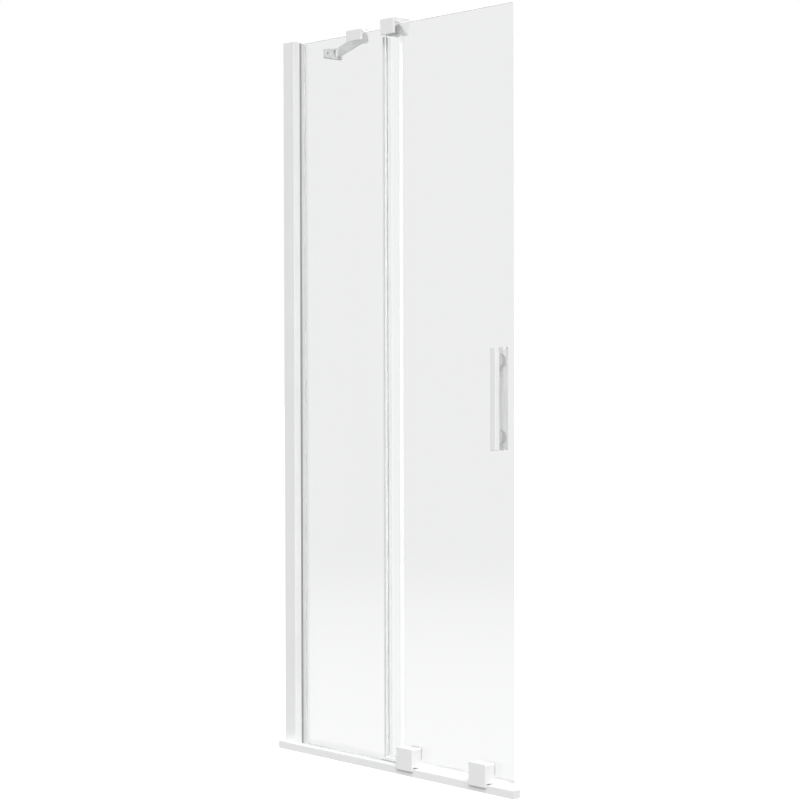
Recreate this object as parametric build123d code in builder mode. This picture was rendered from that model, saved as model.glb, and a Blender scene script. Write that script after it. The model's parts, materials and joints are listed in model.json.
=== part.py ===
from build123d import *
import os

# Sliding bath screen: a fixed glass pane in a wall profile, and a second pane that rolls
# in front of it on a rail along the bath rim. Millimetres.
# Frame: X runs along the screen away from the wall, Y into the bath, Z up. The origin is
# the middle of the rail's underside, on the bath rim.

os.makedirs("parts", exist_ok=True)

# Driving dimensions
screen_height = 1500.0
rail_length = 700.0
rail_depth = 18.0
rail_height = 15.5
glass = 8.0
arris = 0.8
pane_gap = 11.0

wall_x = -rail_length / 2

# Depths of the two panes
slide_front = rail_depth / 2 + 1.0
slide_back = slide_front + glass
fixed_front = slide_back + pane_gap
fixed_back = fixed_front + glass

# Outlines of the two panes
fixed_left = wall_x + 22.0
fixed_right = wall_x + 347.3
fixed_bottom = 6.0
fixed_top = screen_height - 2.4
slide_left = wall_x + 319.0
slide_right = wall_x + 687.0
slide_bottom = 22.8
slide_top = fixed_top - 1.0

# Wall profile, and the channel inside it
profile_front = rail_depth / 2 + 0.5
profile_depth = 33.5
profile_back = profile_front + profile_depth
profile_width = 34.0
profile_wall = 2.0
profile_lip = profile_front + 17.0
profile_cap = 2.0
mouth = wall_x + profile_width
channel_web = 2.0
channel_leg = 1.5

# Fixings of the wall channel, the arm's foot and the wall profile
wall_hole_pitch = 440.0
wall_hole_radius = 2.6
foot_hole_pitch = 35.0
lock_x = wall_x + 10.0
lock_pitch = 1200.0
lock_radius = 1.7

# Roller blocks
block_centres = {"left": wall_x + 400.8, "right": wall_x + 607.2}
block_width = 47.0
block_front = slide_front - 23.3
block_top = 55.5
block_underside = 18.3
block_skirt_bottom = 10.6
block_skin = 2.5
block_face_skin = 3.0
carrier_width = block_width - 2 * block_skin - 1.0
clamp_height = 42.5
clamp_radius = 3.0
clamp_head = 5.4
collar_radius = 5.0
back_plate_size = (28.0, 24.0)
back_plate_centre = 41.5

# Wheels, on axles between the carrier's thick plate and its fork plate
wheel_radius = 9.5
wheel_width = 9.8
wheel_spacing = 21.0
wheel_depth = -1.25
wheel_height = rail_height + 0.3 + wheel_radius
axle_radius = 2.5
plate_front = slide_front - 6.0
plate_back = slide_front - 0.8
fork_front = -8.5
fork_back = -6.5
carrier_low = 19.0
fork_low = 20.6

# Handle
handle_x = wall_x + 641.6
handle_z = screen_height / 2
handle_width = 14.0
handle_depth = 12.0
handle_length = 196.0
handle_fixing = 72.5
stud_radius = 3.0
bush_radius = 6.0
disc_radius = 13.5
disc_thickness = 1.5

# Guide over the top of both panes
guide_left = wall_x + 322.4
guide_width = 39.5
guide_front = slide_front - 12.0
guide_top = 1507.4
guide_bottom = 1476.4
guide_bridge = 1499.4
guide_screw_height = 1486.0

# Support arm
clamp_left = wall_x + 191.7
clamp_width = 43.0
clamp_top = 1503.4
clamp_bridge = 1499.4
clamp_screw_height = 1488.0
clamp_screw_spacing = 30.0
pivot_radius = 6.5
pin_radius = 2.5
tongue_low = 1484.0
tongue_high = 1498.0
arm_low = 1482.5
arm_high = 1502.5
arm_thickness = 6.0
foot_low = 1480.0
foot_high = 1502.0
foot_centre = fixed_front + 116.0
foot_thickness = 7.0
wall_pivot = (wall_x + 16.0, fixed_front + 120.0)
clamp_pivot = (clamp_left + clamp_width / 2, fixed_front + 22.0)

grub_radius = 2.45


def keep(builder, name):
    """Label one finished piece and write it to its own file."""
    builder.part.label = name
    export_step(builder.part, f"parts/{name}.step")


def facing(y):
    """Plane parallel to the panes at depth y. A positive extrusion comes forward."""
    return Plane.XZ.offset(-y)


def across(x):
    """Plane square to the rail at x, drawn in depth and height."""
    return Plane.YZ.offset(x)


def level(z):
    """Horizontal plane at height z."""
    return Plane.XY.offset(z)


def from_wall(x, y, z):
    """Plane parallel to the wall, for holes drilled towards it."""
    return Plane((x, y, z), x_dir=(0, 1, 0), z_dir=(1, 0, 0))


def from_bath(x, y, z):
    """Plane parallel to the panes, for holes drilled from the bath side."""
    return Plane((x, y, z), x_dir=(1, 0, 0), z_dir=(0, 1, 0))


def glass_pane(name, left, right, bottom, top, front, holes, corner):
    """One toughened pane with dubbed corners, ground edges and drilled holes."""
    with BuildPart() as pane:
        with BuildSketch(facing(front + glass)) as outline:
            with Locations(((left + right) / 2, (bottom + top) / 2)):
                Rectangle(right - left, top - bottom)
            chamfer(outline.vertices(), corner)
            for x, z, radius in holes:
                with Locations((x, z)):
                    Circle(radius, mode=Mode.SUBTRACT)
        extrude(amount=glass)
        rims = [face.outer_wire().edges() for face in pane.faces().filter_by(Axis.Y)]
        chamfer([edge for rim in rims for edge in rim], arris)
    keep(pane, name)


# Wall side of the screen


def make_wall_channel():
    """Aluminium U-section screwed to the wall, inside the wall profile."""
    front = profile_front + profile_wall + 0.5
    back = profile_back - profile_wall - 0.5
    reach = wall_x + 18.0
    bottom = 3.0
    with BuildPart() as wall_channel:
        with BuildSketch(level(bottom)):
            with BuildLine():
                Polyline(
                    (wall_x, front), (reach, front), (reach, front + channel_leg),
                    (wall_x + channel_web, front + channel_leg),
                    (wall_x + channel_web, back - channel_leg),
                    (reach, back - channel_leg), (reach, back), (wall_x, back), close=True,
                )
            make_face()
        extrude(amount=screen_height - 5.0 - bottom)
        with Locations(from_wall(wall_x + channel_web, (front + back) / 2, screen_height / 2)):
            with GridLocations(1, wall_hole_pitch, 1, 4):
                Hole(wall_hole_radius, depth=channel_web + 1)
        # Pilot holes for the lock screws, in the leg on the bath side
        with Locations(from_bath(lock_x, back, screen_height / 2)):
            with GridLocations(1, lock_pitch, 1, 2):
                Hole(lock_radius, depth=channel_leg + 0.1)
    keep(wall_channel, "wall_channel")


def make_wall_profile():
    """White extrusion: channel pocket to the wall, closed front chamber, glazing pocket."""
    pocket = wall_x + 19.0
    partition = pocket + profile_wall
    chamber_back = profile_lip - 1.6
    glazing_back = profile_back - 2.6
    with BuildPart() as wall_profile:
        with BuildSketch(level(0)) as section:
            with Locations(((wall_x + mouth) / 2, (profile_front + profile_back) / 2)):
                Rectangle(profile_width, profile_depth)
            fillet(section.vertices().group_by(Axis.X)[-1], 1.2)
            # Pocket that slides over the wall channel
            with Locations(((wall_x + pocket) / 2, (profile_front + profile_back) / 2)):
                Rectangle(pocket - wall_x, profile_depth - 2 * profile_wall, mode=Mode.SUBTRACT)
            # Closed chamber behind the front face
            with BuildLine():
                Polyline(
                    (partition, profile_front + profile_wall),
                    (mouth - profile_wall, profile_front + profile_wall),
                    (mouth - profile_wall, chamber_back), (partition, chamber_back), close=True,
                )
            make_face(mode=Mode.SUBTRACT)
            # Glazing pocket, with a bead at its mouth that holds each gasket
            with BuildLine():
                Polyline(
                    (partition, profile_lip), (mouth - 2.4, profile_lip),
                    (mouth - 1.6, profile_lip + 0.6), (mouth + 1.0, profile_lip + 0.6),
                    (mouth + 1.0, glazing_back - 0.6), (mouth - 1.6, glazing_back - 0.6),
                    (mouth - 2.4, glazing_back), (partition, glazing_back), close=True,
                )
            make_face(mode=Mode.SUBTRACT)
        extrude(amount=screen_height - profile_cap)
        # Clearance holes for the lock screws, through the wall on the bath side
        with Locations(from_bath(lock_x, profile_back, screen_height / 2)):
            with GridLocations(1, lock_pitch, 1, 2):
                Hole(lock_radius + 0.1, depth=profile_wall + 0.5)
    keep(wall_profile, "wall_profile")


def make_profile_top_cap():
    """Moulded cap with a hollow spigot in the profile's front chamber."""
    middle = (profile_front + profile_back) / 2
    under = screen_height - profile_cap
    with BuildPart() as profile_top_cap:
        with BuildSketch(level(under)) as outline:
            with Locations(((wall_x + mouth) / 2, middle)):
                Rectangle(profile_width, profile_depth)
            fillet(outline.vertices().group_by(Axis.X)[-1], 1.2)
        extrude(amount=profile_cap)
        chamfer(profile_top_cap.faces().sort_by(Axis.Z)[-1].edges().group_by(Axis.X)[1:], 0.4)
        with BuildSketch(level(under)):
            with Locations((wall_x + 26.5, profile_front + 8.7)):
                Rectangle(10.6, 12.8)
                Rectangle(7.6, 9.8, mode=Mode.SUBTRACT)
        extrude(amount=-7.0)
    keep(profile_top_cap, "profile_top_cap")


def make_profile_lock_screws():
    """Pan-head screws, top and bottom, that join the profile to the wall channel."""
    head = 1.8
    places = [(lock_x, (screen_height + step * lock_pitch) / 2) for step in (-1, 1)]
    with BuildPart() as profile_lock_screws:
        with BuildSketch(facing(profile_back + head)):
            with Locations(*places):
                Circle(3.2)
        extrude(amount=head)
        with BuildSketch(facing(profile_back)):
            with Locations(*places):
                Circle(lock_radius)
        extrude(amount=8.0)
        with BuildSketch(facing(profile_back + head)):
            with Locations(*places):
                RegularPolygon(1.2, 6)
        extrude(amount=1.0, mode=Mode.SUBTRACT)
    keep(profile_lock_screws, "profile_lock_screws")


def make_glazing_gaskets():
    """Rubber wedges between the profile and the fixed pane, with lips that show."""
    glazing_back = profile_back - 2.6
    with BuildPart() as glazing_gasket_front:
        with BuildSketch(level(0)):
            with BuildLine():
                Polyline(
                    (fixed_left, fixed_front), (fixed_left, profile_lip), (mouth - 2.4, profile_lip),
                    (mouth - 1.6, profile_lip + 0.6), (mouth + 0.1, profile_lip + 0.6),
                    (mouth + 0.1, profile_lip - 0.6), (mouth + 1.6, profile_lip - 0.5),
                    (mouth + 2.6, fixed_front), close=True,
                )
            make_face()
        extrude(amount=fixed_top)
    keep(glazing_gasket_front, "glazing_gasket_front")
    with BuildPart() as glazing_gasket_back:
        with BuildSketch(level(0)):
            with BuildLine():
                Polyline(
                    (fixed_left, fixed_back), (mouth + 1.4, fixed_back),
                    (mouth + 0.9, glazing_back + 0.4), (mouth + 0.1, glazing_back + 0.6),
                    (mouth + 0.1, glazing_back - 0.6), (mouth - 1.6, glazing_back - 0.6),
                    (mouth - 2.4, glazing_back), (fixed_left, glazing_back), close=True,
                )
            make_face()
        extrude(amount=fixed_top)
    keep(glazing_gasket_back, "glazing_gasket_back")


def make_bottom_seat():
    """Low U-channel on the rim that carries the fixed pane, its end cap and packers."""
    left = mouth + 3.0
    front = fixed_front - 3.5
    back = fixed_back + 3.5
    height = 9.0
    floor = 2.0
    side = 1.6
    with BuildPart() as bottom_seat:
        with BuildSketch(across(left)):
            with BuildLine():
                Polyline(
                    (front, 0), (back, 0), (back, height), (back - side, height),
                    (back - side, floor), (front + side, floor), (front + side, height),
                    (front, height), close=True,
                )
            make_face()
        extrude(amount=fixed_right - left)
    keep(bottom_seat, "bottom_seat")
    with BuildPart() as seat_end_cap:
        with BuildSketch(across(fixed_right)):
            with Locations(((front + back) / 2, height / 2)):
                RectangleRounded(back - front, height, 0.8)
        extrude(amount=1.5)
    keep(seat_end_cap, "seat_end_cap")
    with BuildPart() as setting_blocks:
        with BuildSketch(level(floor)):
            with Locations(*[(x, (fixed_front + fixed_back) / 2) for x in (left + 60, fixed_right - 60)]):
                Rectangle(40, 10)
        extrude(amount=fixed_bottom - floor)
    keep(setting_blocks, "setting_blocks")


# Rail on the bath rim


def rail_outline():
    """Outside of the rail's section, softer above than below."""
    with BuildSketch(mode=Mode.PRIVATE) as outline:
        with Locations((0, rail_height / 2)):
            Rectangle(rail_depth, rail_height)
        fillet(outline.vertices().group_by(Axis.Y)[-1], 0.8)
        fillet(outline.vertices().group_by(Axis.Y)[0], 0.4)
    return outline.sketch


def make_bottom_rail():
    """Hollow extruded rail: running top, web under the wheels, screw port for the caps."""
    inner = rail_depth / 2 - 1.8
    web = 1.6
    chambers = ((-inner, wheel_depth - web / 2), (wheel_depth + web / 2, inner))
    length = rail_length - 4.0
    with BuildPart() as bottom_rail:
        with BuildSketch(across(-length / 2)):
            add(rail_outline())
            # Two chambers, either side of the web that carries the wheels
            for front, back in chambers:
                with Locations(((front + back) / 2, rail_height / 2)):
                    Rectangle(back - front, rail_height - 3.6, mode=Mode.SUBTRACT)
            with Locations((wheel_depth, rail_height / 2)):
                Circle(2.3)
                Circle(1.2, mode=Mode.SUBTRACT)
        extrude(amount=length)
    keep(bottom_rail, "bottom_rail")


def make_rail_end_cap(side, direction):
    """Moulded cap, with two pegs that grip inside the rail's chambers."""
    inner = rail_depth / 2 - 1.8
    start = direction * (rail_length / 2 - 2.0)
    with BuildPart() as rail_end_cap:
        with BuildSketch(across(start)):
            add(rail_outline())
        extrude(amount=direction * 2.0)
        with BuildSketch(across(start)):
            with Locations((-inner + 1.6, rail_height / 2), (inner - 2.1, rail_height / 2)):
                Rectangle(2.6, 8.0)
        extrude(amount=-direction * 8.0)
    keep(rail_end_cap, f"rail_end_cap_{side}")


# Guide over the top of both panes


def make_guide():
    """Guide clamped on the fixed pane's top corner, with a slot the sliding pane runs in."""
    front_plate = 4.7
    liner = 1.1
    pad = 0.5
    running_gap = 0.4
    jaw = slide_back + running_gap + liner
    slot_front = fixed_front - pad
    slot_back = fixed_back + pad
    slot_top = fixed_top + 0.8
    back = slot_back + 4.0
    with BuildPart() as guide_body:
        with BuildSketch(across(guide_left)) as section:
            with BuildLine():
                Polyline(
                    (guide_front, guide_bottom), (guide_front + front_plate, guide_bottom),
                    (guide_front + front_plate, guide_bridge), (jaw, guide_bridge),
                    (jaw, guide_bottom), (back, guide_bottom), (back, guide_top),
                    (guide_front, guide_top), close=True,
                )
            make_face()
            chamfer(section.vertices().group_by(Axis.Y)[-1], 0.8)
        extrude(amount=guide_width)
        front_face = guide_body.faces().filter_by(Axis.Y).sort_by(Axis.Y)[0]
        chamfer(front_face.edges().filter_by(Axis.Z), 0.6)
        # Slot for the fixed pane, closed beyond its edge
        with BuildSketch(across(guide_left)):
            with Locations(((slot_front + slot_back) / 2, (guide_bottom + slot_top) / 2)):
                Rectangle(slot_back - slot_front, slot_top - guide_bottom)
        extrude(amount=fixed_right + 0.5 - guide_left, mode=Mode.SUBTRACT)
        with Locations(from_bath(guide_left + 12.0, back, guide_screw_height)):
            Hole(grub_radius, depth=back - slot_back)
    keep(guide_body, "guide_body")
    with BuildPart() as guide_liner_front:
        with BuildSketch(across(guide_left + 1.5)):
            with BuildLine():
                Polyline(
                    (guide_front + front_plate, guide_bridge),
                    (guide_front + front_plate, guide_bridge - 8.0),
                    (slide_front - 1.6, guide_bridge - 8.0),
                    (slide_front - running_gap, guide_bridge - 6.4),
                    (slide_front - running_gap, guide_bridge), close=True,
                )
            make_face()
        extrude(amount=guide_width - 3.0)
    keep(guide_liner_front, "guide_liner_front")
    with BuildPart() as guide_liner_back:
        with BuildSketch(facing(jaw)):
            with Locations((guide_left + guide_width / 2, guide_bridge - 11.4)):
                Rectangle(guide_width - 4.0, 19.0)
        extrude(amount=liner)
        chamfer(guide_liner_back.faces().sort_by(Axis.Y)[0].edges(), 0.5)
    keep(guide_liner_back, "guide_liner_back")
    with BuildPart() as guide_glass_pads:
        for y in (fixed_front, slot_back):
            with BuildSketch(facing(y)):
                with Locations((guide_left + 12.0, guide_screw_height + 1.5)):
                    Rectangle(20.0, 18.0)
            extrude(amount=pad)
    keep(guide_glass_pads, "guide_glass_pads")
    make_grub_screws("guide_set_screw", [guide_left + 12.0], slot_back, back, guide_screw_height)


def make_grub_screws(name, places, front, back, height):
    """Grub screws with a hexagon socket, seen from the bath side."""
    with BuildPart() as grub_screws:
        centres = [(x, height) for x in places]
        with BuildSketch(facing(back)):
            with Locations(*centres):
                Circle(grub_radius)
        extrude(amount=back - front)
        with BuildSketch(facing(back)):
            with Locations(*centres):
                RegularPolygon(1.4, 6)
        extrude(amount=2.0, mode=Mode.SUBTRACT)
    keep(grub_screws, name)


# Support arm from the fixed pane back to the wall


def make_arm_clamp():
    """Clamp over the top edge of the fixed pane, with two lugs for the arm."""
    front = fixed_front - 8.6
    front_plate = 3.6
    front_low = 1481.4
    jaw = fixed_back + 1.0
    back = fixed_back + 6.8
    back_low = 1477.0
    lug_low = tongue_low - 4.6
    middle = clamp_left + clamp_width / 2
    with BuildPart() as arm_clamp_body:
        with BuildSketch(across(clamp_left)) as section:
            with BuildLine():
                Polyline(
                    (front, front_low), (front + front_plate, front_low),
                    (front + front_plate, clamp_bridge), (jaw, clamp_bridge), (jaw, back_low),
                    (back, back_low), (back, clamp_top), (front, clamp_top), close=True,
                )
            make_face()
            fillet(section.vertices().group_by(Axis.Y)[-1], 0.8)
        extrude(amount=clamp_width)
        for low, high in ((lug_low, tongue_low - 0.3), (tongue_high + 0.3, clamp_top)):
            with BuildSketch(level(low)):
                with Locations(clamp_pivot):
                    Circle(pivot_radius)
                with Locations((middle, (back + clamp_pivot[1]) / 2)):
                    Rectangle(2 * pivot_radius, clamp_pivot[1] - back)
                with Locations(clamp_pivot):
                    Circle(pin_radius, mode=Mode.SUBTRACT)
            extrude(amount=high - low)
        with Locations(from_bath(middle, back, clamp_screw_height)):
            with GridLocations(clamp_screw_spacing, 1, 2, 1):
                Hole(grub_radius, depth=back - jaw)
    keep(arm_clamp_body, "arm_clamp_body")
    with BuildPart() as arm_clamp_pads:
        pad_high = fixed_top - 0.2
        for y, thickness, low in (
            (fixed_front, fixed_front - front - front_plate, front_low + 1.2),
            (jaw, jaw - fixed_back, back_low + 1.4),
        ):
            with BuildSketch(facing(y)):
                with Locations((middle, (low + pad_high) / 2)):
                    Rectangle(clamp_width - 3.0, pad_high - low)
            extrude(amount=thickness)
    keep(arm_clamp_pads, "arm_clamp_pads")
    places = [middle - clamp_screw_spacing / 2, middle + clamp_screw_spacing / 2]
    make_grub_screws("arm_clamp_screws", places, jaw, back, clamp_screw_height)


def make_arm_bar():
    """Flat bar on edge, cut down at both ends to round tongues for the pins."""
    run = Vector(*clamp_pivot) - Vector(*wall_pivot)
    along = Plane((*wall_pivot, arm_low), x_dir=(run.X, run.Y, 0), z_dir=(0, 0, 1))
    reach = run.length
    shoulder = 12.0
    with BuildPart() as arm_bar:
        with BuildSketch(along):
            with Locations((reach / 2, 0)):
                Rectangle(reach - 2 * shoulder, arm_thickness)
        extrude(amount=arm_high - arm_low)
        chamfer(arm_bar.edges().filter_by(Axis.Z), 1.0)
        with BuildSketch(along.offset(tongue_low - arm_low)):
            with Locations((reach / 2, 0)):
                Rectangle(reach, arm_thickness)
            with Locations((0, 0), (reach, 0)):
                Circle(pivot_radius - 0.5)
        extrude(amount=tongue_high - tongue_low)
        with BuildSketch(along.offset(tongue_low - arm_low)):
            with Locations((0, 0), (reach, 0)):
                Circle(pin_radius + 0.05)
        extrude(amount=tongue_high - tongue_low, mode=Mode.SUBTRACT)
    keep(arm_bar, "arm_bar")


def make_arm_pins():
    """Two headed pins, through the lugs and the tongues of the arm."""
    ends = ((wall_pivot, foot_low, foot_high), (clamp_pivot, tongue_low - 4.6, clamp_top))
    with BuildPart() as arm_pins:
        for place, low, high in ends:
            with BuildSketch(level(low)):
                with Locations(place):
                    Circle(pin_radius)
            extrude(amount=high - low)
            with BuildSketch(level(high)):
                with Locations(place):
                    Circle(4.0)
            extrude(amount=1.4)
    keep(arm_pins, "arm_pins")


def make_arm_wall_foot():
    """Plate on the wall with two fixing holes and the lugs that hold the arm."""
    middle = (foot_low + foot_high) / 2
    plate_face = wall_x + foot_thickness
    with BuildPart() as arm_wall_foot:
        with BuildSketch(across(wall_x)) as plate:
            with Locations((foot_centre, middle)):
                Rectangle(48.0, foot_high - foot_low)
            chamfer(plate.vertices(), 2.5)
        extrude(amount=foot_thickness)
        chamfer(arm_wall_foot.faces().sort_by(Axis.X)[-1].edges(), 1.0)
        for low, high in ((foot_low, tongue_low - 0.3), (tongue_high + 0.3, foot_high)):
            with BuildSketch(level(low)):
                with Locations(wall_pivot):
                    Circle(pivot_radius)
                with Locations(((plate_face - 5.0 + wall_pivot[0]) / 2, wall_pivot[1])):
                    Rectangle(wall_pivot[0] - plate_face + 5.0, 2 * pivot_radius)
                with Locations(wall_pivot):
                    Circle(pin_radius, mode=Mode.SUBTRACT)
            extrude(amount=high - low)
        with Locations(from_wall(plate_face, foot_centre, middle)):
            with GridLocations(foot_hole_pitch, 1, 2, 1):
                Hole(wall_hole_radius, depth=foot_thickness + 1)
    keep(arm_wall_foot, "arm_wall_foot")


# Sliding pane and what it carries


def make_pane_edge_seal():
    """U-shaped seal pushed on the wall-side edge, and the clear fin welded along it."""
    front = slide_front - 0.9
    back = slide_back + 0.9
    edge = slide_left - 1.4
    reach = slide_left + 3.6
    tip = fixed_front - 0.4
    length = guide_bottom - 2.4 - slide_bottom
    with BuildPart() as pane_edge_seal:
        with BuildSketch(level(slide_bottom)):
            with BuildLine():
                Polyline(
                    (slide_left, slide_front), (reach, slide_front), (reach, front + 0.4),
                    (edge, front), (edge, back), (reach, back - 0.4), (reach, slide_back),
                    (slide_left, slide_back), close=True,
                )
            make_face()
        extrude(amount=length)
    keep(pane_edge_seal, "pane_edge_seal")
    with BuildPart() as pane_edge_fin:
        with BuildSketch(level(slide_bottom)):
            with BuildLine():
                Polyline((edge + 1.3, back - 0.1), (edge, back), (edge - 0.2, tip - 2.8))
                ThreePointArc((edge - 0.2, tip - 2.8), (edge + 0.6, tip - 0.8), (edge + 2.4, tip))
                Line((edge + 2.4, tip), (edge + 2.6, tip - 0.7))
                ThreePointArc((edge + 2.6, tip - 0.7), (edge + 1.3, tip - 1.3), (edge + 0.7, tip - 2.8))
                Line((edge + 0.7, tip - 2.8), (edge + 1.3, back - 0.1))
            make_face()
        extrude(amount=length)
    keep(pane_edge_fin, "pane_edge_fin")


def make_pane_stop():
    """Clip on the top wall-side corner that meets the guide when the screen is closed."""
    left = slide_left - 1.4
    right = guide_left - 0.4
    bottom = guide_bottom + 1.6
    with BuildPart() as pane_stop:
        with BuildSketch(level(bottom)) as outline:
            with Locations(((left + right) / 2, (slide_front + slide_back) / 2)):
                Rectangle(right - left, glass + 3.0)
            chamfer(outline.vertices(), 0.8)
        extrude(amount=slide_top + 1.4 - bottom)
        with BuildSketch(level(bottom)):
            with Locations((slide_left + 10.0, (slide_front + slide_back) / 2)):
                Rectangle(20.0, glass)
        extrude(amount=slide_top - bottom, mode=Mode.SUBTRACT)
    keep(pane_stop, "pane_stop")


def make_bottom_seal():
    """Drip seal: grips the bottom edge and closes the gap behind the rail."""
    left = slide_left + 0.6
    leg = 0.6
    leg_top = slide_bottom + 5.2
    wiper_low = 12.6
    cut_width = block_width + 2.0
    with BuildPart() as bottom_seal:
        with BuildSketch(across(left)):
            with BuildLine():
                Polyline(
                    (slide_front - leg, leg_top), (slide_front, leg_top), (slide_front, slide_bottom),
                    (slide_back, slide_bottom), (slide_back, leg_top), (slide_back + leg, leg_top),
                    (slide_back + leg, slide_bottom - 2.2),
                )
                ThreePointArc(
                    (slide_back + leg, slide_bottom - 2.2), (slide_front + 5.0, 15.4),
                    (slide_front + 0.2, wiper_low),
                )
                Polyline(
                    (slide_front + 0.2, wiper_low), (slide_front - 0.5, wiper_low + 0.8),
                    (slide_front - 0.5, slide_bottom - 1.8), (slide_front - leg, leg_top),
                )
            make_face()
        extrude(amount=slide_right - left)
        # The edge seal takes the corner of the glass
        with BuildSketch(level(slide_bottom)):
            with Locations((slide_left, (slide_front + slide_back) / 2)):
                Rectangle(8.4, glass + 4.0)
        extrude(amount=12.0, mode=Mode.SUBTRACT)
        # Cut back where the roller blocks clamp the glass
        for centre in block_centres.values():
            for low, y in ((block_underside - 0.4, slide_front - 4.5), (slide_bottom, slide_back + 4.5)):
                with BuildSketch(level(low)):
                    with Locations((centre, y)):
                        Rectangle(cut_width, 9.0)
                extrude(amount=12.0, mode=Mode.SUBTRACT)
    keep(bottom_seal, "bottom_seal")


def make_handle_bar(name, rear, contact, outward):
    """One bar, with blind holes in the face at depth contact for the studs."""
    with BuildPart() as bar:
        with BuildSketch(facing(rear)):
            with Locations((handle_x, handle_z)):
                Rectangle(handle_width, handle_length)
        extrude(amount=handle_depth)
        fillet(bar.edges().filter_by(Axis.Z), 1.2)
        chamfer(bar.faces().filter_by(Axis.Z).edges(), 0.6)
        face = Plane((handle_x, contact, handle_z), x_dir=(1, 0, 0), z_dir=(0, -outward, 0))
        with Locations(face):
            with GridLocations(1, 2 * handle_fixing, 1, 2):
                Hole(stud_radius, depth=8.0)
    keep(bar, name)


def make_handle():
    """A bar on each face of the pane, held by two studs through bushed holes."""
    outer_back = slide_front - disc_thickness
    inner_front = slide_back + disc_thickness
    stud_reach = 7.5
    fixings = [(handle_x, handle_z + step) for step in (-handle_fixing, handle_fixing)]
    make_handle_bar("handle_outer", outer_back, outer_back, -1)
    make_handle_bar("handle_inner", inner_front + handle_depth, inner_front, 1)
    with BuildPart() as handle_studs:
        with BuildSketch(facing(inner_front + stud_reach)):
            with Locations(*fixings):
                Circle(stud_radius)
        extrude(amount=inner_front - outer_back + 2 * stud_reach)
    keep(handle_studs, "handle_studs")
    # Sleeves in the glass with a disc in front, and loose discs behind
    with BuildPart() as handle_bushes:
        for rear, radius, length in (
            (slide_back, bush_radius, glass), (slide_front, disc_radius, disc_thickness),
        ):
            with BuildSketch(facing(rear)):
                with Locations(*fixings):
                    Circle(radius)
                    Circle(stud_radius, mode=Mode.SUBTRACT)
            extrude(amount=length)
    keep(handle_bushes, "handle_bushes")
    with BuildPart() as handle_discs:
        with BuildSketch(facing(inner_front)):
            with Locations(*fixings):
                Circle(disc_radius)
                Circle(stud_radius, mode=Mode.SUBTRACT)
        extrude(amount=disc_thickness)
    keep(handle_discs, "handle_discs")


# Roller blocks


def make_roller_cover(side, centre):
    """Square moulded cover, open to the glass and below, with a skirt over the rail."""
    rear = slide_front - 0.3
    inner_front = block_front + block_face_skin
    with BuildPart() as roller_cover:
        with BuildSketch(facing(rear)):
            with Locations((centre, (block_skirt_bottom + block_top) / 2)):
                RectangleRounded(block_width, block_top - block_skirt_bottom, 3.0)
        extrude(amount=rear - block_front)
        chamfer(roller_cover.faces().sort_by(Axis.Y)[0].edges(), 0.8)
        # Hollow for the carrier and the wheels
        with BuildSketch(facing(rear)):
            with Locations((centre, block_top - block_skin - 25.0)):
                Rectangle(block_width - 2 * block_skin, 50.0)
        extrude(amount=rear - inner_front, mode=Mode.SUBTRACT)
        # Side walls stop above the rail, and only the skirt hangs in front of it
        with BuildSketch(level(block_underside)):
            with Locations((centre, (rear + inner_front) / 2)):
                Rectangle(block_width + 4.0, rear - inner_front)
        extrude(amount=-20.0, mode=Mode.SUBTRACT)
        # Ribs that locate the cover on the carrier
        with BuildSketch(level(block_top - block_skin)):
            with Locations((centre, inner_front + 4.0)):
                with GridLocations(14.0, 1, 3, 1):
                    Rectangle(1.2, 8.0)
        extrude(amount=-13.0)
    keep(roller_cover, f"roller_cover_{side}")


def axle_places(centre):
    """Where the two axles of a block stand, seen from the front."""
    return [(centre + step * wheel_spacing / 2, wheel_height) for step in (-1, 1)]


def make_roller_carrier(side, centre):
    """Bent carrier: thick plate on the glass, bridge over the wheels, front fork plate."""
    plate_top = 52.0
    bridge_top = 38.6
    bridge_under = 36.2
    with BuildPart() as roller_carrier:
        with BuildSketch(across(centre - carrier_width / 2)):
            with BuildLine():
                Polyline(
                    (plate_back, carrier_low), (plate_back, plate_top), (plate_front, plate_top),
                    (plate_front, bridge_top), (fork_front, bridge_top), (fork_front, fork_low),
                    (fork_back, fork_low), (fork_back, bridge_under), (plate_front, bridge_under),
                    (plate_front, carrier_low), close=True,
                )
            make_face()
        extrude(amount=carrier_width)
        chamfer(roller_carrier.edges().filter_by(Axis.Y).group_by(Axis.Z)[0], 1.5)
        with BuildSketch(facing(plate_back)):
            with Locations(*axle_places(centre)):
                Circle(axle_radius)
            with Locations((centre, clamp_height)):
                Circle(clamp_radius)
        extrude(amount=plate_back - plate_front, mode=Mode.SUBTRACT)
        # Notches in the fork plate, open below, that the axles drop into
        with BuildSketch(facing(fork_back)):
            with Locations(*axle_places(centre)):
                Circle(axle_radius)
                with Locations((0, -5.0)):
                    Rectangle(2 * axle_radius, 10.0)
        extrude(amount=fork_back - fork_front, mode=Mode.SUBTRACT)
    keep(roller_carrier, f"roller_carrier_{side}")


def make_back_plate(side, centre):
    """Plate behind the glass that the clamp screw pulls towards the carrier."""
    rear = slide_back + 5.3
    with BuildPart() as back_plate:
        with BuildSketch(facing(rear)) as outline:
            with Locations((centre, back_plate_centre)):
                Rectangle(*back_plate_size)
            chamfer(outline.vertices(), 2.0)
        extrude(amount=4.5)
        chamfer(back_plate.faces().sort_by(Axis.Y)[-1].edges(), 0.8)
        with Locations(from_bath(centre, rear, clamp_height)):
            CounterBoreHole(clamp_radius + 0.1, clamp_head + 0.2, 2.7, depth=6)
    keep(back_plate, f"back_plate_{side}")


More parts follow.
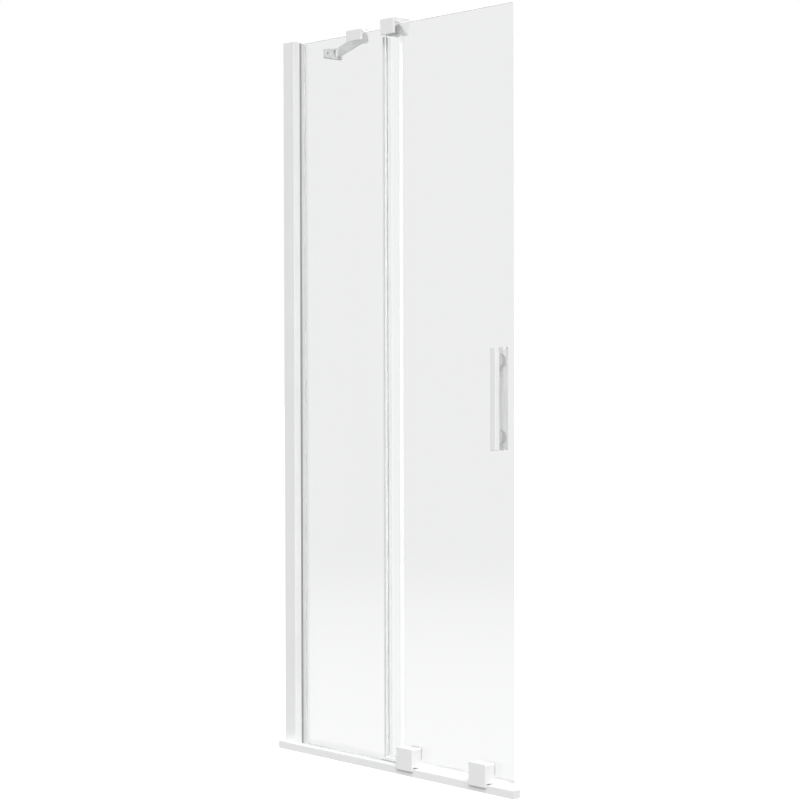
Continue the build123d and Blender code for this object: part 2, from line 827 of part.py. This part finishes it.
def make_clamp_pads():
    """Pads either side of the glass, the rear ones with collars that line its holes."""
    centres = list(block_centres.values())
    with BuildPart() as carrier_pads:
        with BuildSketch(facing(slide_front)):
            with Locations(*[(x, 35.5) for x in centres]):
                Rectangle(carrier_width, 33.0)
            with Locations(*[(x, clamp_height) for x in centres]):
                Circle(clamp_radius, mode=Mode.SUBTRACT)
        extrude(amount=0.8)
    keep(carrier_pads, "carrier_pads")
    with BuildPart() as back_pads:
        with BuildSketch(facing(slide_back + 0.8)) as outline:
            with Locations(*[(x, back_plate_centre) for x in centres]):
                Rectangle(*back_plate_size)
            chamfer(outline.vertices(), 2.0)
        extrude(amount=0.8)
        with BuildSketch(facing(slide_back)):
            with Locations(*[(x, clamp_height) for x in centres]):
                Circle(collar_radius)
        extrude(amount=glass - 0.2)
        with BuildSketch(facing(slide_back + 0.8)):
            with Locations(*[(x, clamp_height) for x in centres]):
                Circle(clamp_radius)
        extrude(amount=glass + 0.8, mode=Mode.SUBTRACT)
    keep(back_pads, "back_pads")


def make_clamp_screws():
    """Cap screws from the bath side, through plate, glass and carrier."""
    head_rear = slide_back + 5.2
    head_height = 2.6
    centres = [(x, clamp_height) for x in block_centres.values()]
    with BuildPart() as clamp_screws:
        with BuildSketch(facing(head_rear)):
            with Locations(*centres):
                Circle(clamp_head)
        extrude(amount=head_height)
        with BuildSketch(facing(head_rear - head_height)):
            with Locations(*centres):
                Circle(clamp_radius)
        extrude(amount=head_rear - head_height - plate_front - 0.4)
        with BuildSketch(facing(head_rear)):
            with Locations(*centres):
                RegularPolygon(2.6, 6)
        extrude(amount=1.8, mode=Mode.SUBTRACT)
    keep(clamp_screws, "clamp_screws")


def make_wheel_axles():
    """Hexagon-headed axles, in front of the fork plate and screwed into the thick plate."""
    places = [place for centre in block_centres.values() for place in axle_places(centre)]
    with BuildPart() as wheel_axles:
        with BuildSketch(facing(fork_front)):
            with Locations(*places):
                RegularPolygon(4.2, 6)
        extrude(amount=1.3)
        with BuildSketch(facing(plate_back - 0.6)):
            with Locations(*places):
                Circle(axle_radius)
        extrude(amount=plate_back - 0.6 - fork_front)
    keep(wheel_axles, "wheel_axles")


def make_skirt_pads():
    """Thin glides inside each cover's skirt, in front of the rail."""
    rear = block_front + block_face_skin + 0.9
    with BuildPart() as skirt_pads:
        with BuildSketch(facing(rear)):
            with Locations(*[(x, 13.4) for x in block_centres.values()]):
                Rectangle(36.0, 4.0)
        extrude(amount=0.9)
        chamfer(skirt_pads.faces().group_by(Axis.Y)[-1].edges(), 0.3)
    keep(skirt_pads, "skirt_pads")


def make_wheel(name, place):
    """Nylon wheel that runs on its axle."""
    with BuildPart() as wheel:
        with BuildSketch(facing(wheel_depth + wheel_width / 2)):
            with Locations(place):
                Circle(wheel_radius)
                Circle(axle_radius + 0.05, mode=Mode.SUBTRACT)
        extrude(amount=wheel_width)
    keep(wheel, f"wheel_{name}")


clamp_holes = [(centre, clamp_height, collar_radius) for centre in block_centres.values()]
handle_holes = [(handle_x, handle_z + step, bush_radius) for step in (-handle_fixing, handle_fixing)]

make_wall_channel()
make_wall_profile()
make_profile_top_cap()
make_profile_lock_screws()
make_glazing_gaskets()
glass_pane("fixed_glass", fixed_left, fixed_right, fixed_bottom, fixed_top, fixed_front, [], 2.0)
make_bottom_seat()
make_bottom_rail()
make_rail_end_cap("left", -1)
make_rail_end_cap("right", 1)
make_guide()
make_arm_clamp()
make_arm_bar()
make_arm_pins()
make_arm_wall_foot()
glass_pane(
    "sliding_glass", slide_left, slide_right, slide_bottom, slide_top, slide_front,
    clamp_holes + handle_holes, 1.5,
)
make_pane_edge_seal()
make_pane_stop()
make_bottom_seal()
make_handle()
make_clamp_pads()
make_clamp_screws()
make_wheel_axles()
make_skirt_pads()
for side, centre in block_centres.items():
    make_roller_cover(side, centre)
    make_roller_carrier(side, centre)
    make_back_plate(side, centre)
    for place_name, place in zip(("inner", "outer"), axle_places(centre)):
        make_wheel(f"{side}_{place_name}", place)
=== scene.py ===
import json
import math

import bpy
from mathutils import Matrix, Vector


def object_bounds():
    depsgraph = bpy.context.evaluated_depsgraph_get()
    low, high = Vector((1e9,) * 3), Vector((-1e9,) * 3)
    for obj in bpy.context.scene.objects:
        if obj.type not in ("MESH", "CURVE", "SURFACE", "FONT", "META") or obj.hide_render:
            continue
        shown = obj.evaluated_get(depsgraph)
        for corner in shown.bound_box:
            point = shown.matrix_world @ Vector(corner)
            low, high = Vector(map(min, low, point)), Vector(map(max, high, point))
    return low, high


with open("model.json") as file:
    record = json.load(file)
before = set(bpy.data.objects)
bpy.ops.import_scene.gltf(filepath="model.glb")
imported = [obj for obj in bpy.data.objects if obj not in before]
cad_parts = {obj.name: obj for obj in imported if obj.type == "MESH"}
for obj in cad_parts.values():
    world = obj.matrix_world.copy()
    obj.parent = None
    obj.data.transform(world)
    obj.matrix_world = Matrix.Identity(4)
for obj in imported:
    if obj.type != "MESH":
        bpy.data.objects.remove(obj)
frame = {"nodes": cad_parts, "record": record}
nodes = frame["nodes"]
cad_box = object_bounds()

# Camera, in metres and degrees: where the photograph was taken from
CAMERA_PLACE = Vector((2.9677, -2.6673, 0.8081))
CAMERA_TURN = 47.79
CAMERA_TILT = 0.905
CAMERA_ROLL = -0.142
CAMERA_LENS = 89.76
SENSOR = 36.0

# Light levels, where 1 is white
BACKGROUND = 1.0
AMBIENT = 0.35
REFLECTED = 1.0
SEEN_THROUGH_GLASS = 0.845
# Behind both panes the background is paler, as a painted highlight where the panes overlap
SEEN_THROUGH_BOTH_PAINTED_HIGHLIGHT = 0.915

# Key light: its strength, where it comes from, and its width in radians
KEY_STRENGTH = 3.0
KEY_FROM = Vector((0.5, -0.445, 0.743))
KEY_ANGLE = 0.6

# Floor: its size and its drop below the part in metres, its tone, and the light that it gives
FLOOR_SIZE = 60.0
FLOOR_DROP = 0.0002
FLOOR_TONE = 0.35
FLOOR_GLOW = 0.85
FLOOR_BOUNCE = 0.1

# The floor behind glass goes from this level near the part to the background's tone far off, a
# painted pool of light around the part
PAINTED_POOL_NEAR_OBJECT = 0.95
NEAR = 0.2
FAR = 5.0

# Glass: tint and reflection of each face, and how much lamplight gets through one
GLASS_TINT = (0.995, 0.998, 0.997)
GLASS_REFLECTION = 0.075
GLASS_SHADE = 0.2

# A face of a pane looks along Y at least this squarely, and its back corner starts at this depth
FACE_SQUARENESS = 0.9
CORNER_DEPTH = 0.86

# A ray has crossed more faces than this only when it's through both panes
FACES_OF_ONE_PANE = 2.5

# Reflection at a shallow angle rises with this power of the angle's share
SHALLOW_POWER = 5.0

# Painted glow of pieces that are no lamps, standing in for light that comes to them through the
# glass
EDGE_PAINTED_GLOW = 0.4
WEDGE_PAINTED_GLOW = 0.18
SEAL_PAINTED_GLOW = 0.02
PAD_PAINTED_GLOW = 0.16
DISC_PAINTED_GLOW = 0.3

# Tones of the powder coat: most of it, the arm's bar, and the arm's foot, the last two darker as
# painted shade
COAT_TONE = 0.87
ARM_PAINTED_SHADE_TONE = 0.82
FOOT_PAINTED_SHADE_TONE = 0.66

# Tones of the nylon: most of it, and the handle's discs, whose dark tone is painted shade
NYLON_TONE = 0.8
DISC_PAINTED_SHADE_TONE = 0.25

WHITE = (1, 1, 1, 1)


def material(name):
    """A new material with its Principled shader, and its node tree."""
    made = bpy.data.materials.new(name)
    made.use_nodes = True
    tree = made.node_tree
    shader = tree.nodes["Principled BSDF"]
    return made, tree, shader


def feed(tree, value, socket):
    """Set the socket to a number, or link it to the socket that gives one."""
    if isinstance(value, float):
        socket.default_value = value
    else:
        tree.links.new(value, socket)


def glow(tree, shader, strength):
    """A white glow of that strength, on top of what the surface reflects."""
    shader.inputs["Emission Color"].default_value = WHITE
    feed(tree, strength, shader.inputs["Emission Strength"])


def show(tree, surface):
    """Make that shader the material's surface."""
    tree.links.new(surface, tree.nodes["Material Output"].inputs["Surface"])


def coordinate(tree, kind, axis):
    """One number of the texture coordinate of that kind."""
    parts = tree.nodes.new("ShaderNodeSeparateXYZ")
    where = tree.nodes.new("ShaderNodeTexCoord").outputs[kind]
    tree.links.new(where, parts.inputs["Vector"])
    return parts.outputs[axis]


def position(tree):
    """Place on the object in metres, the same at every pose."""
    return tree.nodes.new("ShaderNodeTexCoord").outputs["Object"]


def noise(tree, scale, detail=3.0, roughness=0.5, stretch=None):
    """Noise of that many features a metre, drawn out by the stretch if one is given."""
    texture = tree.nodes.new("ShaderNodeTexNoise")
    texture.inputs["Scale"].default_value = scale
    texture.inputs["Detail"].default_value = detail
    texture.inputs["Roughness"].default_value = roughness
    where = position(tree)
    if stretch:
        mapping = tree.nodes.new("ShaderNodeMapping")
        mapping.inputs["Scale"].default_value = stretch
        tree.links.new(where, mapping.inputs["Vector"])
        where = mapping.outputs["Vector"]
    tree.links.new(where, texture.inputs["Vector"])
    return texture.outputs["Fac"]


def spread(tree, value, low, high, from_low=0.3, from_high=0.7):
    """The value's middle range mapped to low and high."""
    span = tree.nodes.new("ShaderNodeMapRange")
    span.inputs["From Min"].default_value = from_low
    span.inputs["From Max"].default_value = from_high
    span.inputs["To Min"].default_value = low
    span.inputs["To Max"].default_value = high
    tree.links.new(value, span.inputs["Value"])
    return span.outputs["Result"]


def blend_colours(tree, value, first, second):
    """A colour between two, by the value."""
    mix = tree.nodes.new("ShaderNodeMix")
    mix.data_type = "RGBA"
    mix.inputs["A"].default_value = (*first, 1)
    mix.inputs["B"].default_value = (*second, 1)
    tree.links.new(value, mix.inputs["Factor"])
    return mix.outputs["Result"]


def bump(tree, shader, value, height, strength=1.0):
    """Surface relief of that height in metres."""
    relief = tree.nodes.new("ShaderNodeBump")
    relief.inputs["Distance"].default_value = height
    relief.inputs["Strength"].default_value = strength
    tree.links.new(value, relief.inputs["Height"])
    tree.links.new(relief.outputs["Normal"], shader.inputs["Normal"])


def powder_coat(name="powder_coat", tone=COAT_TONE):
    """Powder coat of that tone on aluminium, with its faint orange peel."""
    made, tree, shader = material(name)
    cloud = noise(tree, 9.0, 2.0)
    darker = (tone - 0.015, tone - 0.013, tone - 0.012)
    paler = (tone + 0.015, tone + 0.016, tone + 0.016)
    shade = blend_colours(tree, spread(tree, cloud, 0, 1), darker, paler)
    tree.links.new(shade, shader.inputs["Base Color"])
    fine = noise(tree, 420.0, 2.0)
    tree.links.new(spread(tree, fine, 0.36, 0.46), shader.inputs["Roughness"])
    shader.inputs["Specular IOR Level"].default_value = 0.45
    bump(tree, shader, fine, 0.00004, 0.5)
    return made


def moulded_white():
    """White moulded plastic with a fine spark-eroded grain."""
    made, tree, shader = material("moulded_white")
    grain = noise(tree, 1600.0, 2.0)
    share = spread(tree, grain, 0, 1)
    shade = blend_colours(tree, share, (0.86, 0.862, 0.863), (0.88, 0.881, 0.881))
    tree.links.new(shade, shader.inputs["Base Color"])
    tree.links.new(spread(tree, noise(tree, 60.0), 0.38, 0.5), shader.inputs["Roughness"])
    bump(tree, shader, grain, 0.00003, 0.6)
    return made


def calculate(tree, operation, first, second):
    """One sum on a socket and a socket or number."""
    made = tree.nodes.new("ShaderNodeMath")
    made.operation = operation
    tree.links.new(first, made.inputs[0])
    feed(tree, second, made.inputs[1])
    return made.outputs[0]


def mix_shaders(tree, factor, first, second):
    """The first shader where the factor is 0, the second where it is 1."""
    made = tree.nodes.new("ShaderNodeMixShader")
    tree.links.new(factor, made.inputs["Fac"])
    tree.links.new(first, made.inputs[1])
    tree.links.new(second, made.inputs[2])
    return made.outputs["Shader"]


def passing(tree, tint):
    """What passes straight through a thin wall, tinted."""
    through = tree.nodes.new("ShaderNodeBsdfTransparent")
    through.inputs["Color"].default_value = (*tint, 1)
    return through.outputs["BSDF"]


def clear_sheet(tree, tint, reflection):
    """A clear sheet that doesn't bend light, and reflects more at a shallow angle."""
    through = tree.nodes.new("ShaderNodeBsdfRefraction")
    through.inputs["Color"].default_value = (*tint, 1)
    through.inputs["Roughness"].default_value = 0.0
    through.inputs["IOR"].default_value = 1.0
    mirror = tree.nodes.new("ShaderNodeBsdfAnisotropic")
    mirror.inputs["Color"].default_value = WHITE
    mirror.inputs["Roughness"].default_value = 0.0
    weight = tree.nodes.new("ShaderNodeLayerWeight")
    weight.inputs["Blend"].default_value = 0.5
    shallow = calculate(tree, "POWER", weight.outputs["Facing"], SHALLOW_POWER)
    risen = calculate(tree, "MULTIPLY", shallow, 1.0 - reflection)
    share = calculate(tree, "ADD", risen, reflection)
    return mix_shaders(tree, share, through.outputs["BSDF"], mirror.outputs["BSDF"])


def glass():
    """Clear toughened glass. Its faces are clear, and its ground edges are pale with a painted
    glow.
    """
    made, tree, edge = material("clear_glass")
    streak = noise(tree, 60.0, 3.0, stretch=(1.0, 30.0, 1.0))
    share = spread(tree, streak, 0, 1)
    tone = blend_colours(tree, share, (0.965, 0.97, 0.97), (0.985, 0.99, 0.99))
    tree.links.new(tone, edge.inputs["Base Color"])
    edge.inputs["Roughness"].default_value = 0.3
    # The ground corner at the back of the edge gets none of the painted glow
    corner = calculate(tree, "GREATER_THAN", coordinate(tree, "Generated", "Y"), CORNER_DEPTH)
    glow(tree, edge, spread(tree, corner, EDGE_PAINTED_GLOW, 0.0, 0.0, 1.0))
    face = clear_sheet(tree, GLASS_TINT, GLASS_REFLECTION)
    along = coordinate(tree, "Normal", "Y")
    squareness = calculate(tree, "MAXIMUM", along, calculate(tree, "MULTIPLY", along, -1.0))
    is_face = calculate(tree, "GREATER_THAN", squareness, FACE_SQUARENESS)
    surface = mix_shaders(tree, is_face, edge.outputs["BSDF"], face)
    # Lamps shine through the pane, dimmed
    lamp_ray = tree.nodes.new("ShaderNodeLightPath").outputs["Is Shadow Ray"]
    dimmed = passing(tree, (GLASS_SHADE,) * 3)
    show(tree, mix_shaders(tree, lamp_ray, surface, dimmed))
    return made


def rubber():
    """Grey gasket rubber, with faint extrusion lines along it."""
    made, tree, shader = material("gasket_rubber")
    lines = noise(tree, 300.0, 2.0, stretch=(1.0, 1.0, 0.01))
    shade = blend_colours(tree, spread(tree, lines, 0, 1), (0.26, 0.265, 0.27), (0.32, 0.325, 0.33))
    tree.links.new(shade, shader.inputs["Base Color"])
    tree.links.new(spread(tree, noise(tree, 500.0), 0.55, 0.75), shader.inputs["Roughness"])
    bump(tree, shader, lines, 0.00005, 0.6)
    return made


def white_wedge_painted_glow():
    """White glazing wedge with a painted glow, which stands in for the light that comes through the
    pane that it holds.
    """
    made, tree, shader = material("white_wedge_painted_glow")
    lines = noise(tree, 300.0, 2.0, stretch=(1.0, 1.0, 0.01))
    share = spread(tree, lines, 0, 1)
    shade = blend_colours(tree, share, (0.84, 0.845, 0.85), (0.88, 0.885, 0.885))
    tree.links.new(shade, shader.inputs["Base Color"])
    tree.links.new(spread(tree, noise(tree, 500.0), 0.45, 0.6), shader.inputs["Roughness"])
    # Painted glow, standing in for light reaching the wedge in its pocket
    glow(tree, shader, WEDGE_PAINTED_GLOW)
    bump(tree, shader, lines, 0.00005, 0.5)
    return made


def vinyl():
    """Soft grey seal that lets a third of the light through, with a faint painted glow."""
    made, tree, shader = material("seal_vinyl")
    lines = noise(tree, 220.0, 2.0, stretch=(1.0, 1.0, 0.02))
    shade = blend_colours(tree, spread(tree, lines, 0, 1), (0.8, 0.81, 0.815), (0.83, 0.84, 0.845))
    tree.links.new(shade, shader.inputs["Base Color"])
    tree.links.new(spread(tree, noise(tree, 260.0), 0.35, 0.5), shader.inputs["Roughness"])
    bump(tree, shader, lines, 0.00005, 0.3)
    # Faint painted glow, lifting the seal where it lies in shade
    glow(tree, shader, SEAL_PAINTED_GLOW)
    clear = spread(tree, lines, 0.32, 0.36)
    through = passing(tree, (0.95, 0.955, 0.955))
    show(tree, mix_shaders(tree, clear, shader.outputs["BSDF"], through))
    return made


def clear_vinyl():
    """Clear soft vinyl, a little cloudy, with extrusion lines along it."""
    made, tree, cloudy = material("clear_vinyl")
    lines = noise(tree, 260.0, 2.0, stretch=(0.05, 1.0, 0.05))
    shade = blend_colours(tree, spread(tree, lines, 0, 1), (0.82, 0.84, 0.84), (0.9, 0.91, 0.91))
    tree.links.new(shade, cloudy.inputs["Base Color"])
    cloudy.inputs["Roughness"].default_value = 0.35
    clear = spread(tree, lines, 0.9, 0.86)
    through = passing(tree, (0.993, 0.996, 0.996))
    show(tree, mix_shaders(tree, clear, cloudy.outputs["BSDF"], through))
    return made


def nylon(name="natural_nylon", tone=NYLON_TONE, light=0.0):
    """Nylon of that tone, slightly waxy, with an even painted glow of the light's strength."""
    made, tree, shader = material(name)
    cloud = noise(tree, 120.0, 3.0)
    shade = blend_colours(tree, spread(tree, cloud, 0, 1), (tone - 0.02,) * 3, (tone + 0.02,) * 3)
    glow(tree, shader, light)
    tree.links.new(shade, shader.inputs["Base Color"])
    tree.links.new(spread(tree, cloud, 0.32, 0.45), shader.inputs["Roughness"])
    bump(tree, shader, noise(tree, 900.0), 0.00003, 0.5)
    return made


def steel():
    """Stainless steel with a fine brushed grain."""
    made, tree, shader = material("satin_steel")
    grain = noise(tree, 900.0, 3.0, stretch=(0.08, 1.0, 1.0))
    shade = blend_colours(tree, spread(tree, grain, 0, 1), (0.55, 0.56, 0.57), (0.68, 0.69, 0.7))
    tree.links.new(shade, shader.inputs["Base Color"])
    shader.inputs["Metallic"].default_value = 1.0
    tree.links.new(spread(tree, grain, 0.26, 0.4), shader.inputs["Roughness"])
    bump(tree, shader, grain, 0.00002, 0.4)
    return made


def aluminium():
    """Mill-finish aluminium with die lines along the extrusion."""
    made, tree, shader = material("mill_aluminium")
    lines = noise(tree, 700.0, 3.0, stretch=(1.0, 1.0, 0.01))
    shade = blend_colours(tree, spread(tree, lines, 0, 1), (0.7, 0.71, 0.72), (0.8, 0.805, 0.81))
    tree.links.new(shade, shader.inputs["Base Color"])
    shader.inputs["Metallic"].default_value = 1.0
    tree.links.new(spread(tree, lines, 0.34, 0.48), shader.inputs["Roughness"])
    bump(tree, shader, lines, 0.00003, 0.5)
    return made


def dress_nodes():
    """Give every node the finish of its slot in the record, or its own where it has one."""
    finishes = {
        "white_powder_coat": powder_coat(),
        "white_plastic": moulded_white(),
        "clear_glass": glass(),
        "grey_rubber": rubber(),
        "seal_vinyl": vinyl(),
        "clear_vinyl": clear_vinyl(),
        "nylon": nylon(),
        "steel": steel(),
        "mill_aluminium": aluminium(),
    }
    # Pads that touch the glass get an even painted glow, standing in for light that doesn't reach
    # them
    pad_nylon_painted_glow = nylon("pad_nylon_painted_glow", NYLON_TONE, PAD_PAINTED_GLOW)
    # The handle's discs: dark nylon as painted shade, with a painted glow
    disc_nylon_painted_shade_and_glow = nylon("disc_nylon_painted_shade_and_glow", DISC_PAINTED_SHADE_TONE, DISC_PAINTED_GLOW)
    own_finish = {
        "glazing_gasket_back": white_wedge_painted_glow(),
        # The arm's bar and foot are darker copies of the same white coat, as painted shade
        "arm_bar": powder_coat("arm_coat_painted_shade", ARM_PAINTED_SHADE_TONE),
        "arm_wall_foot": powder_coat("foot_coat_painted_shade", FOOT_PAINTED_SHADE_TONE),
        "handle_bushes": disc_nylon_painted_shade_and_glow,
        "handle_discs": disc_nylon_painted_shade_and_glow,
        "arm_clamp_pads": pad_nylon_painted_glow,
        "back_pads": pad_nylon_painted_glow,
        "carrier_pads": pad_nylon_painted_glow,
        "guide_glass_pads": pad_nylon_painted_glow,
    }
    for part in frame["record"]["subparts"]:
        mesh = nodes[part["node"]].data
        mesh.materials.clear()
        mesh.materials.append(own_finish.get(part["node"], finishes[part["material_slot"]]))


def level_behind_glass(tree):
    """What shows behind one pane, and the paler tone behind both, a painted highlight."""
    path = tree.nodes.new("ShaderNodeLightPath")
    depth = path.outputs["Transmission Depth"]
    both = calculate(tree, "GREATER_THAN", depth, FACES_OF_ONE_PANE)
    return spread(tree, both, SEEN_THROUGH_GLASS, SEEN_THROUGH_BOTH_PAINTED_HIGHLIGHT, 0.0, 1.0)


def seen_directly(tree, kind):
    """1 for rays of that kind that show something, 0 for those that light a matt surface."""
    path = tree.nodes.new("ShaderNodeLightPath")
    first = calculate(tree, "LESS_THAN", path.outputs["Diffuse Depth"], 0.5)
    return calculate(tree, "MULTIPLY", first, path.outputs[kind])


def build_world():
    """Even soft light, with a white background for the camera and behind the glass."""
    world = bpy.data.worlds.new("studio")
    bpy.context.scene.world = world
    world.use_nodes = True
    tree = world.node_tree
    level = AMBIENT
    levels_by_kind = (
        ("Is Glossy Ray", REFLECTED),
        ("Is Transmission Ray", level_behind_glass(tree)),
        ("Is Camera Ray", BACKGROUND),
    )
    for kind, shown in levels_by_kind:
        mix = tree.nodes.new("ShaderNodeMix")
        mix.data_type = "FLOAT"
        feed(tree, level, mix.inputs["A"])
        feed(tree, shown, mix.inputs["B"])
        tree.links.new(seen_directly(tree, kind), mix.inputs["Factor"])
        level = mix.outputs["Result"]
    tree.links.new(level, tree.nodes["Background"].inputs["Strength"])
    tree.nodes["Background"].inputs["Color"].default_value = WHITE


def build_floor():
    """A plain pale floor that keeps the object's shadow."""
    bpy.ops.mesh.primitive_plane_add(size=FLOOR_SIZE, location=(0, 0, cad_box[0][2] - FLOOR_DROP))
    floor = bpy.context.object
    floor.name = "floor"
    made, tree, shader = material("pale_floor")
    shader.inputs["Base Color"].default_value = (FLOOR_TONE, FLOOR_TONE, FLOOR_TONE, 1)
    shader.inputs["Roughness"].default_value = 1.0
    shader.inputs["Specular IOR Level"].default_value = 0.0
    seen = seen_directly(tree, "Is Camera Ray")
    glow(tree, shader, spread(tree, seen, FLOOR_BOUNCE, FLOOR_GLOW, 0.0, 1.0))
    # What glass and gloss show of the floor: a painted pool of light, pale near the object, the
    # background's tone far off
    distance = tree.nodes.new("ShaderNodeVectorMath")
    distance.operation = "LENGTH"
    tree.links.new(position(tree), distance.inputs[0])
    fade = tree.nodes.new("ShaderNodeMapRange")
    fade.interpolation_type = "SMOOTHSTEP"
    fade.inputs["From Min"].default_value = NEAR
    fade.inputs["From Max"].default_value = FAR
    fade.inputs["To Min"].default_value = PAINTED_POOL_NEAR_OBJECT
    tree.links.new(level_behind_glass(tree), fade.inputs["To Max"])
    tree.links.new(distance.outputs["Value"], fade.inputs["Value"])
    behind_glass = tree.nodes.new("ShaderNodeEmission")
    tree.links.new(fade.outputs["Result"], behind_glass.inputs["Strength"])
    in_gloss = tree.nodes.new("ShaderNodeEmission")
    in_gloss.inputs["Strength"].default_value = REFLECTED
    surface = shader.outputs["BSDF"]
    for kind, shown in (("Is Glossy Ray", in_gloss), ("Is Transmission Ray", behind_glass)):
        surface = mix_shaders(tree, seen_directly(tree, kind), surface, shown.outputs["Emission"])
    show(tree, surface)
    floor.data.materials.append(made)


def add_key_light():
    """A broad, even lamp from above on the right, the same over the object's height."""
    lamp = bpy.data.lights.new("key", "SUN")
    lamp.energy = KEY_STRENGTH
    lamp.angle = KEY_ANGLE
    key = bpy.data.objects.new("key", lamp)
    key.rotation_euler = KEY_FROM.to_track_quat("Z", "Y").to_euler()
    bpy.context.scene.collection.objects.link(key)


def build_camera():
    """The camera at the photograph's viewing angle."""
    data = bpy.data.cameras.new("camera")
    data.sensor_width = SENSOR
    data.lens = CAMERA_LENS
    turn = math.radians(CAMERA_TURN)
    tilt = math.radians(CAMERA_TILT)
    roll = math.radians(CAMERA_ROLL)
    level_forward = Vector((-math.sin(turn), math.cos(turn), 0))
    forward = level_forward * math.cos(tilt) - Vector((0, 0, math.sin(tilt)))
    right = Vector((math.cos(turn), math.sin(turn), 0))
    up = right.cross(forward)
    rolled_right = math.cos(roll) * right + math.sin(roll) * up
    rolled_up = math.cos(roll) * up - math.sin(roll) * right
    turned = Matrix((rolled_right, rolled_up, -forward)).transposed()
    camera = bpy.data.objects.new("camera", data)
    camera.matrix_world = Matrix.Translation(CAMERA_PLACE) @ turned.to_4x4()
    bpy.context.scene.collection.objects.link(camera)
    bpy.context.scene.camera = camera


dress_nodes()
build_world()
build_floor()
add_key_light()
build_camera()
bpy.context.scene.view_settings.view_transform = "Standard"
